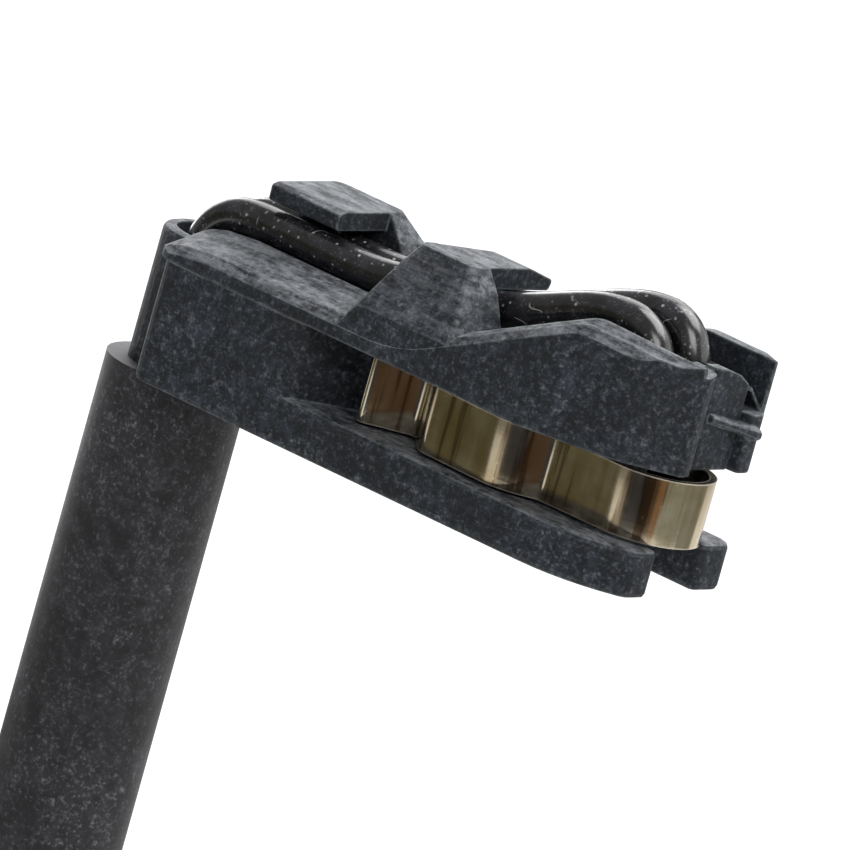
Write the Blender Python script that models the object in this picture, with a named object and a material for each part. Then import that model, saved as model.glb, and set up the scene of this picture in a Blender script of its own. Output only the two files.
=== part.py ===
"""Brake pad wear sensor: a moulded head with a sprung slot, a sensing wire loop and a rubber hose.

The head lies along +X, from the hose end to the wear tip. +Z runs from its foot to its wire hooks.
The origin is the middle of the slot that slides onto the brake pad's backing plate.
"""

import bmesh
import bpy
import math

import numpy as np

MM = 0.001
CLEARANCE = 0.3 * MM        # between pieces that rest against each other
FIT = 0.15 * MM             # closer fit, of the spring in its slot

# Head: foot, slot and upper flange. X = 0 is near the end block's left face, Z = 0 the foot's underside
HALF_WIDTH = 4.85 * MM
FACE_STEP = 0.1 * MM        # the upper flange stands this proud of the block below it
BLOCK_LEFT = -0.9 * MM
BLOCK_CORNER = 0.9 * MM
BLOCK_RIGHT = 7.7 * MM
BLOCK_FILLET = 2.0 * MM
FOOT_THICKNESS = 2.15 * MM
SLOT_HEIGHT = 3.35 * MM
LIP_THICKNESS = 1.0 * MM
SLOT_MIDDLE_X = 16.5 * MM
WEB_HALF_WIDTH = 1.3 * MM
WEB_END = 23.6 * MM

# Foot prongs
FOOT_BEND = 24.6 * MM
NEAR_PRONG_END = 26.9 * MM
NEAR_PRONG_INNER = 1.4 * MM
FAR_PRONG_END = 26.15 * MM
FAR_PRONG_INNER = 2.5 * MM
FORK_START = 20.4 * MM
PRONG_CORNER = 0.9 * MM
FORK_CORNER = 1.6 * MM
FOOT_ARC = 7.0 * MM         # the near prong's outer bend
FOOT_TAPER = 1.9 * MM
FOOT_EDGE = 0.25 * MM

# Upper flange, whose crown carries the wires and whose walls rise to the wear tip
FLANGE_OVERHANG = 0.4 * MM  # past the block's left face
FLANGE_CORNER = 1.2 * MM
FLANGE_FALL = 3.2 * MM       # the flange's end rounds down over this length
EDGE_CHAMFER = 0.4 * MM
WALL_TOP = 1.3 * MM
FAR_WALL = 0.85 * MM
BED_HEIGHT = 6.9 * MM
BED_EDGE = 0.3 * MM         # how far the flange's crown stands over the wires' bed
RAMP_START = 12.9 * MM
RAMP_END = 21.8 * MM
RAMP_FOOT_EASE = 1.6 * MM
RAMP_TOP_EASE = 0.4 * MM

# Wear tip
TIP_BEND = 20.5 * MM        # where the near wall starts to lean in
TIP_TAPER = 1.8 * MM        # how far it leans in at the tip's end
TIP_FACE = 26.0 * MM
TIP_NOSE = 26.9 * MM
TIP_ROUND = 1.4 * MM
TIP_TOP = 10.1 * MM
TIP_PEAK = 0.6 * MM         # how much higher the near wall's top starts
TIP_RIDGE = 0.25 * MM       # the near wall's inner edge stands this much over its outer one
FAR_WALL_TOP = 10.45 * MM
CUP_TOP = 10.15 * MM
CUP_SHOULDER = 2.0 * MM     # how far the cup's top falls towards the walls
CUP_EDGE = 8.15 * MM        # the far lobe's top, level with the cup's low edge
NOSE_GAP = 0.6 * MM         # from the centre line to the near wall's end
NOSE_EDGE = 0.4 * MM        # that end's corner
POST_LEFT = 0.15 * MM
POST_RIGHT = 2.65 * MM
RECESS_DEPTH = 1.1 * MM
RECESS_TOP = 9.75 * MM
LOBE_GAP = 0.25 * MM
LOBE_PROUD = 0.45 * MM      # the far lobe ends this much past the post
NUB_Z = 7.6 * MM
NUB_PROUD = 0.7 * MM
NUB_THICKNESS = 0.5 * MM
WINDOW_HEIGHT = 0.95 * MM
WINDOW_DEPTH = 0.9 * MM

# Sensing wire and its pocket
WIRE_DIAMETER = 1.6 * MM
WIRE_PITCH = 1.7 * MM
BED_MARGIN = 0.25 * MM
RUN_HEIGHT = 7.95 * MM      # the wire's centre line along the bed
ARCH_HEIGHT = 10.9 * MM
REAR_RISE = 0.45 * MM       # the far lead arches this much higher
WIRE_BEND = 2.3 * MM        # over the hose end
POCKET_LEFT = 20.2 * MM
POCKET_RIGHT = 25.35 * MM
POCKET_FLOOR = 6.6 * MM

# Wire hooks
NEAR_HOOK_LEFT = 11.1 * MM
NEAR_HOOK_RIGHT = 14.35 * MM
NEAR_HOOK_TOP = 10.5 * MM
NEAR_HOOK_NOSE = 2.2 * MM   # how far past the centre line its tip reaches
NEAR_NOSE_THICKNESS = 0.98 * MM
NEAR_NOSE_SKEW = 0.4        # how much the nose's left side leans right, per length across
FAR_HOOK_LEFT = 1.5 * MM
FAR_HOOK_RIGHT = 5.5 * MM
FAR_HOOK_TOP = 9.8 * MM
FAR_HOOK_NOSE = 1.5 * MM
FAR_NOSE_THICKNESS = 0.85 * MM
NEAR_NOSE_DROP = 0.5 * MM   # how far its top falls at its tip
FAR_NOSE_DROP = 0.12 * MM
HOOK_STEM = 1.1 * MM        # stem width at the top
STEM_CORNER = 0.45 * MM

# Retaining spring
SPRING_THICKNESS = 0.28 * MM
SPRING_HEIGHT = 2.95 * MM
SPRING_LEG = 2.5 * MM       # from the centre line to a leg
SPRING_END = 24.4 * MM      # where the round end's centre is
SPRING_PAD_OUT = 3.85 * MM
SPRING_PAD_LEFT = 14.8 * MM
SPRING_PAD_RIGHT = 18.9 * MM
SPRING_TAIL = 11.0 * MM
SPRING_TAIL_IN = 0.25 * MM  # its ends stand in from the pads' line
SPRING_PAD_LEAN = 0.2 * MM
SPRING_STEP = 2.1 * MM      # from a pad to its leg
SPRING_BEND = 0.55 * MM
SPRING_EASY_BEND = 0.95 * MM

# Spigot, hose and coil
HOSE_DIAMETER = 6.5 * MM
HOSE_BORE = 5.0 * MM
SPIGOT_X = -1.93 * MM
SPIGOT_DIAMETER = 4.6 * MM
SPIGOT_BORE = 3.5 * MM
SPIGOT_TOP = 6.1 * MM
SPIGOT_DEPTH = 6.0 * MM
HOSE_SEAT = 0.3 * MM        # how deep the hose's end sits in the block's underside
HOSE_TOP_LENGTH = 9.0 * MM
COIL_RADIUS = 39.0 * MM
COIL_TURNS = 2
COIL_DROP = 62.0 * MM       # the coil's centre below the foot
COIL_CLEAR = 22.9 * MM      # above and below that centre, where the straight hose starts
TAIL_END = 93.0 * MM

# Coil tie
TIE_WIDTH = 4.5 * MM
TIE_THICKNESS = 1.2 * MM
TIE_HEAD = 6.0 * MM
TIE_HEAD_DEPTH = 3.0 * MM

# Connector
BOOT_LENGTH = 12.0 * MM
BOOT_WALL = 1.2 * MM
BOOT_RING = 0.35 * MM
HOUSING_WIDTH = 13.5 * MM
HOUSING_DEPTH = 9.6 * MM
HOUSING_LENGTH = 24.0 * MM
HOUSING_CORNER = 2.2 * MM
SHELL_WALL = 1.3 * MM
MOUTH_DEPTH = 13.0 * MM
COLLAR_PROUD = 1.1 * MM
COLLAR_LENGTH = 3.0 * MM
LUG_WIDTH = 4.6 * MM
LUG_PROUD = 1.1 * MM
LUG_START = 2.0 * MM        # above the mouth's rim
LUG_STEP = 5.2 * MM
LUG_END = 6.2 * MM
RAIL_SPACING = 8.4 * MM
RAIL_WIDTH = 1.0 * MM
RAIL_PROUD = 0.8 * MM
RAIL_START = 1.5 * MM
TERMINAL_PITCH = 5.0 * MM
TERMINAL_WIDTH = 1.5 * MM
TERMINAL_THICKNESS = 0.65 * MM
TERMINAL_LENGTH = 8.2 * MM
TERMINAL_ROOT = 3.0 * MM
TERMINAL_POINT = 1.0 * MM
LOCK_WIDTH = 8.0 * MM
LOCK_HEIGHT = 3.4 * MM
LOCK_THICKNESS = 1.0 * MM
LOCK_DROP = 2.0 * MM        # below the housing's top
LOCK_PROUD = 0.3 * MM
SMALL_EDGE = 0.4 * MM
SINK = 0.4 * MM             # how far an added shape is sunk into its body

slot_top = FOOT_THICKNESS + SLOT_HEIGHT
lip_top = slot_top + LIP_THICKNESS
wire_side = (WIRE_PITCH + WIRE_DIAMETER) / 2
bed_half = wire_side + BED_MARGIN
face_half = HALF_WIDTH - FACE_STEP
tip_high = max(TIP_TOP + TIP_PEAK + TIP_RIDGE, FAR_WALL_TOP) + CLEARANCE
origin = (SLOT_MIDDLE_X, 0.0, FOOT_THICKNESS + SLOT_HEIGHT / 2)
coil_pitch = HOSE_DIAMETER
tail_y = COIL_TURNS * coil_pitch
coil_x = SPIGOT_X - COIL_RADIUS


def clear_scene():
    for item in list(bpy.data.objects):
        bpy.data.objects.remove(item, do_unlink=True)


def finish(name, colour, roughness, metallic=0.0):
    material = bpy.data.materials.new(name)
    material.use_nodes = True
    shader = material.node_tree.nodes["Principled BSDF"]
    shader.inputs["Base Color"].default_value = (*colour, 1.0)
    shader.inputs["Roughness"].default_value = roughness
    shader.inputs["Metallic"].default_value = metallic
    return material


def make_object(name, mesh):
    item = bpy.data.objects.new(name, mesh)
    bpy.context.collection.objects.link(item)
    return item


def solid(name, vertices, faces):
    """A closed mesh from points in the head's own frame, with its faces turned out."""
    mesh = bpy.data.meshes.new(name)
    moved = [tuple(p[i] - origin[i] for i in range(3)) for p in vertices]
    mesh.from_pydata(moved, [], faces)
    shape = bmesh.new()
    shape.from_mesh(mesh)
    bmesh.ops.recalc_face_normals(shape, faces=shape.faces)
    shape.to_mesh(mesh)
    shape.free()
    return make_object(name, mesh)


def loft(name, sections):
    """A solid through sections that each have the same number of points, with flat ends."""
    count = len(sections[0])
    vertices = [p for section in sections for p in section]
    faces = [tuple(range(count)), tuple(range(len(vertices) - count, len(vertices)))]
    for row in range(len(sections) - 1):
        for i in range(count):
            j = (i + 1) % count
            faces.append((row * count + i, row * count + j, (row + 1) * count + j, (row + 1) * count + i))
    return solid(name, vertices, faces)


def prism(name, outline, start, end, along="Z"):
    """An outline pushed from start to end along one axis. Its two numbers are the other axes, in order."""
    def place(point, depth):
        a, b = point
        return {"Z": (a, b, depth), "Y": (a, depth, b), "X": (depth, a, b)}[along]
    return loft(name, [[place(p, start) for p in outline], [place(p, end) for p in outline]])


def box(name, x, y, z):
    return prism(name, [(x[0], y[0]), (x[1], y[0]), (x[1], y[1]), (x[0], y[1])], z[0], z[1])


def rounded(corners, radii, steps=5, closed=True):
    """An outline whose corners are arcs. A corner whose radius is 0 stays sharp."""
    outline = []
    count = len(corners)
    for i, corner in enumerate(corners):
        radius = radii[i] if isinstance(radii, (list, tuple)) else radii
        if radius == 0 or (not closed and i in (0, count - 1)):
            outline.append(tuple(corner))
            continue
        here = np.array(corner, float)
        before = np.array(corners[i - 1], float) - here
        after = np.array(corners[(i + 1) % count], float) - here
        before, after = before / np.linalg.norm(before), after / np.linalg.norm(after)
        half = math.acos(max(-1.0, min(1.0, float(before @ after)))) / 2
        reach = radius / math.tan(half)
        middle = here + (before + after) / np.linalg.norm(before + after) * radius / math.sin(half)
        first = here + before * reach - middle
        last = here + after * reach - middle
        sweep = math.pi - 2 * half
        turn = 1.0 if first[0] * last[1] - first[1] * last[0] > 0 else -1.0
        for k in range(steps + 1):
            angle = turn * sweep * k / steps
            c, s = math.cos(angle), math.sin(angle)
            outline.append((middle[0] + c * first[0] - s * first[1], middle[1] + s * first[0] + c * first[1]))
    return outline


def disc(centre, radius, steps):
    return [(centre[0] + radius * math.cos(2 * math.pi * k / steps),
             centre[1] + radius * math.sin(2 * math.pi * k / steps)) for k in range(steps)]


def settle(item):
    """Keep an object's evaluated mesh and drop its modifiers."""
    graph = bpy.context.evaluated_depsgraph_get()
    mesh = bpy.data.meshes.new_from_object(item.evaluated_get(graph))
    item.modifiers.clear()
    item.data = mesh


def combine(item, other, operation):
    step = item.modifiers.new(operation.lower(), "BOOLEAN")
    step.operation = operation
    step.solver = "EXACT"
    step.object = other
    settle(item)
    bpy.data.objects.remove(other, do_unlink=True)


def join(item, *others):
    for other in others:
        combine(item, other, "UNION")
    return item


def cut(item, *others):
    for other in others:
        combine(item, other, "DIFFERENCE")
    return item


def soften(item, width, angle=35, segments=2):
    """A small radius on each edge sharper than the angle."""
    step = item.modifiers.new("edges", "BEVEL")
    step.width = width
    step.segments = segments
    step.limit_method = "ANGLE"
    step.angle_limit = math.radians(angle)
    settle(item)
    return item


def smooth(item, angle=35):
    item.data.polygons.foreach_set("use_smooth", [True] * len(item.data.polygons))
    item.data.set_sharp_from_angle(angle=math.radians(angle))


def dress(item, name, material):
    item.name = name
    item.data.name = name
    item.data.materials.clear()
    item.data.materials.append(material)
    smooth(item)
    return item


# The carrier moulding

def foot():
    """The lower flange, which ends in two prongs. The near one's outside is a long arc."""
    outline = rounded(
        [(BLOCK_LEFT, -face_half), (FOOT_BEND, -face_half), (NEAR_PRONG_END, -face_half + FOOT_TAPER),
         (NEAR_PRONG_END, -NEAR_PRONG_INNER), (FORK_START, -NEAR_PRONG_INNER), (FORK_START, FAR_PRONG_INNER),
         (FAR_PRONG_END, FAR_PRONG_INNER), (FAR_PRONG_END, face_half), (BLOCK_LEFT, face_half)],
        [BLOCK_CORNER, FOOT_ARC, PRONG_CORNER, PRONG_CORNER / 2, FORK_CORNER, FORK_CORNER, PRONG_CORNER / 2,
         PRONG_CORNER, BLOCK_CORNER], steps=6)
    return soften(prism("foot", outline, 0.0, FOOT_THICKNESS), FOOT_EDGE)


def end_block():
    """The solid block at the hose end, and the web that joins the two flanges."""
    outline = rounded(
        [(BLOCK_LEFT, -face_half), (BLOCK_RIGHT, -face_half), (BLOCK_RIGHT + BLOCK_FILLET, -WEB_HALF_WIDTH),
         (WEB_END, -WEB_HALF_WIDTH), (WEB_END, WEB_HALF_WIDTH), (BLOCK_RIGHT + BLOCK_FILLET, WEB_HALF_WIDTH),
         (BLOCK_RIGHT, face_half), (BLOCK_LEFT, face_half)],
        [BLOCK_CORNER, BLOCK_CORNER, BLOCK_FILLET, WEB_HALF_WIDTH * 0.9, WEB_HALF_WIDTH * 0.9, BLOCK_FILLET,
         BLOCK_CORNER, BLOCK_CORNER])
    return prism("end_block", outline, HOSE_SEAT * 2, slot_top + FACE_STEP * 2)


def near_edge(x):
    """The near wall's distance from the centre line. It leans in towards the tip."""
    lean = TIP_TAPER / (TIP_FACE - TIP_BEND)
    return HALF_WIDTH - lean * max(0.0, x - TIP_BEND)


def ramp(x):
    """How far up the ramp x is, from 0 at the flange to 1 at the wear tip."""
    rise = [float(np.interp(x + RAMP_FOOT_EASE * k / 6, [RAMP_START, RAMP_END], [0, 1])) for k in range(-6, 7)]
    sharp = [float(np.interp(x + RAMP_TOP_EASE * k / 6, [RAMP_START, RAMP_END], [0, 1])) for k in range(-6, 7)]
    middle = (RAMP_START + RAMP_END) / 2
    return float(np.mean(rise if x < middle else sharp))


def flat_height(y):
    """The upper flange's top where it is level: it slopes up from its lips to the wires' bed."""
    if abs(y) < bed_half:
        return BED_HEIGHT
    slope = (BED_HEIGHT + BED_EDGE - lip_top) / (HALF_WIDTH - EDGE_CHAMFER - bed_half)
    return BED_HEIGHT + BED_EDGE - slope * (abs(y) - bed_half)


def cup_height(y):
    """The cup's domed top at the wear tip."""
    return CUP_TOP - CUP_SHOULDER * min(1.0, abs(y) / (HALF_WIDTH - FAR_WALL)) ** 2.5


def top_section(x):
    """The upper flange's top across the head at x, wider than the flange itself."""
    edge, climb = near_edge(x), ramp(x)
    inner, far_inner = -edge + WALL_TOP, HALF_WIDTH - FAR_WALL
    wide = HALF_WIDTH + 2 * EDGE_CHAMFER
    step = WIRE_PITCH / 40
    left = (bed_half + step) / (HALF_WIDTH - WALL_TOP)
    ys = [inner + step] + [inner * t for t in (left, left * bed_half / (bed_half + step), 0.25)]
    ys += [0.0, bed_half / 2, bed_half, bed_half + step, (bed_half + far_inner) / 2, far_inner - step]
    line = [(y, (1 - climb) * flat_height(y) + climb * cup_height(y)) for y in ys]
    near_top = TIP_TOP + TIP_PEAK * float(np.interp(x, [RAMP_END, TIP_NOSE], [1, 0]))
    lip = (1 - climb) * lip_top + climb * near_top
    far_lip = (1 - climb) * lip_top + climb * FAR_WALL_TOP
    near_ridge = (1 - climb) * flat_height(HALF_WIDTH - WALL_TOP) + climb * (near_top + TIP_RIDGE)
    far_ridge = (1 - climb) * flat_height(far_inner) + climb * FAR_WALL_TOP
    groove = lip + (near_ridge - lip) / 2 - climb * TIP_RIDGE * 0.6
    near = [(-wide, lip - EDGE_CHAMFER - (wide - edge)), (-edge + EDGE_CHAMFER, lip),
            (-edge + (EDGE_CHAMFER + WALL_TOP) / 2, groove), (inner, near_ridge)]
    far = [(far_inner, far_ridge), (HALF_WIDTH - EDGE_CHAMFER / 2, far_lip),
           (wide, far_lip - EDGE_CHAMFER - (wide - HALF_WIDTH))]
    return near + line + far


def flange_plan():
    """The upper flange seen from above: rounded at the hose end, with the wall, post and lobe at the tip."""
    left = BLOCK_LEFT - FLANGE_OVERHANG
    edge = near_edge(TIP_FACE)
    lobe = TIP_FACE + LOBE_PROUD
    recess = TIP_FACE - RECESS_DEPTH
    bend = TIP_FACE - TIP_ROUND
    corners = [(left, -HALF_WIDTH), (TIP_BEND, -HALF_WIDTH), (bend, -near_edge(bend)),
               (TIP_NOSE, -edge + TIP_ROUND * 1.2), (TIP_NOSE - NOSE_EDGE / 2, -NOSE_GAP), (recess, -NOSE_GAP),
               (recess, POST_LEFT), (TIP_FACE, POST_LEFT), (TIP_FACE, POST_RIGHT),
               (TIP_FACE - LOBE_GAP, POST_RIGHT + LOBE_GAP / 2), (lobe, POST_RIGHT + LOBE_GAP),
               (lobe, HALF_WIDTH - TIP_ROUND * 0.7), (bend, HALF_WIDTH), (left, HALF_WIDTH)]
    radii = [FLANGE_CORNER, FOOT_ARC / 2, TIP_ROUND * 2, NOSE_EDGE, LOBE_GAP, 0, 0, LOBE_GAP, LOBE_GAP / 2, 0,
             LOBE_GAP, TIP_ROUND * 0.6, TIP_ROUND, FLANGE_CORNER]
    return rounded(corners, radii)


def upper_flange():
    """The flange's plan, topped by the surface that its sections make."""
    left = BLOCK_LEFT - FLANGE_OVERHANG
    stations = [left - FLANGE_OVERHANG] + [left + FLANGE_FALL * t for t in (0.0, 0.06, 0.18, 0.45, 1.0)]
    dips = [EDGE_CHAMFER * share for share in (2.6, 2.1, 1.5, 1.0, 0.4, 0.0)]
    for start, end, count in ((BLOCK_RIGHT, RAMP_START - RAMP_FOOT_EASE, 2),
                              (RAMP_START - RAMP_FOOT_EASE / 2, RAMP_END - RAMP_TOP_EASE * 2, 12),
                              (RAMP_END - RAMP_TOP_EASE, RAMP_END + RAMP_TOP_EASE, 4),
                              (RAMP_END + RAMP_TOP_EASE * 2, TIP_NOSE + EDGE_CHAMFER, 4)):
        stations += [float(x) for x in np.linspace(start, end, count)]
    dips += [0.0] * (len(stations) - len(dips))
    wide = HALF_WIDTH + 2 * EDGE_CHAMFER
    low = slot_top - EDGE_CHAMFER
    sections = []
    for x, dip in zip(stations, dips):
        top = [(x, y, z - dip) for y, z in top_section(x)]
        sections.append([(x, -wide, low)] + top + [(x, wide, low)])
    body = soften(prism("upper_flange", flange_plan(), slot_top, tip_high), FOOT_EDGE / 2, angle=60)
    combine(body, loft("top", sections), "INTERSECT")
    return body


def tip_cuts():
    """The wire pocket, the roof over the recess beside the post, and the window above the far lobe."""
    high = tip_high + CLEARANCE
    floor = rounded([(POCKET_LEFT, -bed_half), (POCKET_RIGHT, -bed_half), (POCKET_RIGHT, bed_half),
                     (POCKET_LEFT, bed_half)], TIP_ROUND / 2)
    pocket = prism("pocket", floor, POCKET_FLOOR, high)
    face = TIP_NOSE + LOBE_PROUD
    gap = CLEARANCE / 2
    window = prism("window", [
        (POST_RIGHT + gap, CUP_EDGE), (HALF_WIDTH - FAR_WALL - gap, CUP_EDGE),
        (HALF_WIDTH - FAR_WALL - gap * 2, CUP_EDGE + gap), (POST_RIGHT + gap * 2, CUP_EDGE + WINDOW_HEIGHT),
        (POST_RIGHT + gap, CUP_EDGE + WINDOW_HEIGHT)], TIP_FACE - WINDOW_DEPTH, face, along="X")
    brow = box("brow", (TIP_FACE, face), (POST_RIGHT, HALF_WIDTH - FAR_WALL), (CUP_EDGE, high))
    return pocket, window, brow


def recess_roof():
    """The cup's rim closes the recess beside the post at its top."""
    gap = CLEARANCE / 2
    return prism("recess_roof", [
        (-NOSE_GAP - gap, RECESS_TOP), (POST_LEFT + gap, RECESS_TOP), (POST_LEFT + gap, cup_height(0.0) - gap),
        (-NOSE_GAP - gap, cup_height(0.0) - gap)], TIP_FACE - RECESS_DEPTH - gap, TIP_FACE - gap, along="X")


def nub():
    """What is left of the moulding gate, a small bar with a knob at its end."""
    reach = POST_RIGHT + LOBE_GAP * 3
    sections = []
    shares = ((0.0, 0.7, 0.5), (0.3, 0.8, 0.55), (0.6, 0.75, 0.7), (0.85, 1.25, 1.0), (1.0, 0.9, 0.85))
    for t, thick, proud in shares:
        y = POST_LEFT * 3 + (reach - POST_LEFT) * t
        z = NUB_Z + NUB_THICKNESS * (0.6 - 1.3 * t)
        half, out = NUB_THICKNESS * thick / 2, TIP_FACE + NUB_PROUD * proud
        back = TIP_FACE - LOBE_GAP * 2
        sections.append([(back, y, z - half), (out - half / 2, y, z - half), (out, y, z - half / 2),
                         (out, y, z + half / 2), (out - half / 2, y, z + half), (back, y, z + half)])
    return loft("nub", sections)


def hook_stem(name, levels, side):
    """A stem through four-cornered levels, from its root up: (z, left, right, outer, inner left, right)."""
    sections = []
    for z, left, right, outer, inner_left, inner_right in levels:
        corners = [(left, side * outer), (right, side * outer), (inner_right, side * bed_half),
                   (inner_left, side * bed_half)]
        radii = [STEM_CORNER, STEM_CORNER, STEM_CORNER / 4, STEM_CORNER / 4]
        sections.append([(x, y, z) for x, y in rounded(corners, radii, steps=3)])
    return loft(name, sections)


def hook_nose(name, left, right, top, side, tip, thickness, drop, skew=0.0):
    """A nose over the wires, from the stem to its tip, whose top falls away."""
    root = bed_half + HOOK_STEM / 2
    low = top - thickness
    corners = [(-root, low), (tip, low), (tip + drop / 4, top - drop), (tip - drop * 3, top), (-root, top)]
    profile = rounded(corners, [0, thickness * 0.2, thickness * 0.2, drop, 0], steps=4)
    sections = []
    for x, lean in ((left, skew), (right, skew / 8)):
        sections.append([(x + lean * (y + root), -side * y, z) for y, z in profile])
    return loft(name, sections)


def near_hook():
    left, right, top = NEAR_HOOK_LEFT, NEAR_HOOK_RIGHT, NEAR_HOOK_TOP
    outer = bed_half + HOOK_STEM
    low = lip_top - EDGE_CHAMFER
    fall = top - low
    drops = (fall, fall * 0.56, NEAR_NOSE_THICKNESS, 0.0)
    levels = []
    for drop, flare in zip(drops, (0.4, 0.35, 0.19, 0.0)):
        share = drop / fall
        levels.append((top - drop, left - fall * 0.3 * share, right + fall * 0.47 * share,
                       outer + fall * 0.58 * share, left + STEM_CORNER / 4 - fall * 0.74 * share,
                       right + STEM_CORNER / 4 + fall * flare))
    stem = hook_stem("near_hook", levels, -1)
    trim = box("trim", (left - fall, right + fall), (-HALF_WIDTH - fall, -HALF_WIDTH + FACE_STEP / 4),
               (low - EDGE_CHAMFER, top))
    cut(stem, trim)
    return join(stem, hook_nose("near_nose", left, right, top, -1, NEAR_HOOK_NOSE, NEAR_NOSE_THICKNESS,
                                NEAR_NOSE_DROP, NEAR_NOSE_SKEW))


def far_hook():
    left, right, top = FAR_HOOK_LEFT, FAR_HOOK_RIGHT, FAR_HOOK_TOP
    outer = bed_half + HOOK_STEM
    low = lip_top - EDGE_CHAMFER
    fall = top - low
    levels = []
    for share, spread in ((1.0, 1.0), (0.62, 0.75), (0.3, 0.42), (0.0, 0.0)):
        wide = outer + (HALF_WIDTH - FACE_STEP / 4 - outer) * spread
        levels.append((top - fall * share, left - fall * 0.35 * spread, right + fall * 0.7 * spread, wide,
                       left - fall * 0.3 * spread, right + fall * 0.6 * spread))
    return join(hook_stem("far_hook", levels, 1),
                hook_nose("far_nose", left, right, top, 1, FAR_HOOK_NOSE, FAR_NOSE_THICKNESS, FAR_NOSE_DROP))


def spigot():
    """The tube that the hose is pushed onto, moulded on the block's left face."""
    shell = prism("spigot", disc((SPIGOT_X, 0.0), SPIGOT_DIAMETER / 2, 32), -SPIGOT_DEPTH, SPIGOT_TOP)
    return soften(shell, FOOT_EDGE)


def wire_saddle():
    """What is cleared for the wires to bend from the spigot's bore onto the bed."""
    radius = WIRE_BEND - WIRE_DIAMETER / 2 - CLEARANCE
    centre = (SPIGOT_X + WIRE_BEND, RUN_HEIGHT - WIRE_BEND)
    left = SPIGOT_X - SPIGOT_DIAMETER
    arc = [(centre[0] - radius * math.cos(a), centre[1] + radius * math.sin(a))
           for a in np.linspace(0, math.pi / 2, 8)]
    high = RUN_HEIGHT + WIRE_DIAMETER
    start = SPIGOT_TOP + FACE_STEP / 2
    outline = [(left, start), (arc[0][0] - CLEARANCE, start)] + [p for p in arc if p[1] > start]
    outline += [(centre[0] + WIRE_BEND, BED_HEIGHT + FACE_STEP), (centre[0] + WIRE_BEND, high), (left, high)]
    return prism("saddle", outline, -bed_half, bed_half, along="Y")


def carrier(material):
    body = foot()
    join(body, end_block(), upper_flange())
    seat = prism("hose_seat", disc((SPIGOT_X, 0.0), HOSE_DIAMETER / 2 + CLEARANCE, 32), -HOSE_SEAT, HOSE_SEAT)
    cut(body, *tip_cuts(), seat, wire_saddle())
    join(body, recess_roof(), nub(), near_hook(), far_hook(), spigot())
    bore = prism("bore", disc((SPIGOT_X, 0.0), SPIGOT_BORE / 2, 28), -SPIGOT_DEPTH * 1.2, SPIGOT_TOP * 1.2)
    cut(body, bore)
    return dress(body, "sensor_carrier", material)


# The spring strip

def ribbon(name, path, thickness, low, high):
    """A strip that stands on edge along a path, with a square end at each side."""
    points = np.array(path, float)
    ahead = np.gradient(points, axis=0)
    ahead /= np.linalg.norm(ahead, axis=1)[:, None]
    side = np.stack([-ahead[:, 1], ahead[:, 0]], 1) * thickness / 2
    left, right = points + side, points - side
    return loft(name, [[(*left[i], low), (*right[i], low), (*right[i], high), (*left[i], high)]
                       for i in range(len(points))])


def spring(material):
    valley = WEB_HALF_WIDTH + CLEARANCE + SPRING_THICKNESS / 2
    dip = (SPRING_TAIL + SPRING_PAD_LEFT + SPRING_PAD_LEAN) / 2
    half = [(SPRING_TAIL, -SPRING_PAD_OUT + SPRING_TAIL_IN), (dip, -valley),
            (SPRING_PAD_LEFT, -SPRING_PAD_OUT + SPRING_PAD_LEAN), (SPRING_PAD_RIGHT, -SPRING_PAD_OUT),
            (SPRING_PAD_RIGHT + SPRING_STEP, -SPRING_LEG), (SPRING_END, -SPRING_LEG)]
    bends = [0, SPRING_BEND, SPRING_BEND, SPRING_EASY_BEND, SPRING_EASY_BEND, 0]
    leg = rounded(half, bends, closed=False)
    bow = [(SPRING_END + SPRING_LEG * math.sin(a), -SPRING_LEG * math.cos(a))
           for a in np.linspace(0, math.pi, 19)[1:-1]]
    path = leg + bow + [(x, -y) for x, y in reversed(leg)]
    low = FOOT_THICKNESS + FIT
    strip = ribbon("spring", path, SPRING_THICKNESS, low, low + SPRING_HEIGHT)
    return dress(strip, "retaining_spring", material)


# Wires, hose and coil

def smooth_route(points, spacing, ease):
    """Points at an even spacing along a route whose corners are eased over that length to each side."""
    route = np.array(points, float)
    along = np.concatenate([[0], np.cumsum(np.linalg.norm(np.diff(route, axis=0), axis=1))])
    places = np.linspace(0, along[-1], max(2, round(along[-1] / spacing)) + 1)
    eased = []
    for s in places:
        reach = min(ease, s, along[-1] - s)
        window = [s + reach * k / 8 for k in range(-8, 9)]
        eased.append(tuple(float(np.mean(np.interp(window, along, route[:, i]))) for i in range(3)))
    return eased


def tube(name, points, diameter, resolution, material):
    """A round cord along its points, with filled ends."""
    curve = bpy.data.curves.new(name, "CURVE")
    curve.dimensions = "3D"
    curve.bevel_depth = diameter / 2
    curve.bevel_resolution = resolution
    curve.use_fill_caps = True
    line = curve.splines.new("POLY")
    line.points.add(len(points) - 1)
    for point, place in zip(line.points, points):
        point.co = (*(place[i] - origin[i] for i in range(3)), 1.0)
    curve.materials.append(material)
    return make_object(name, curve)


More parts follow.
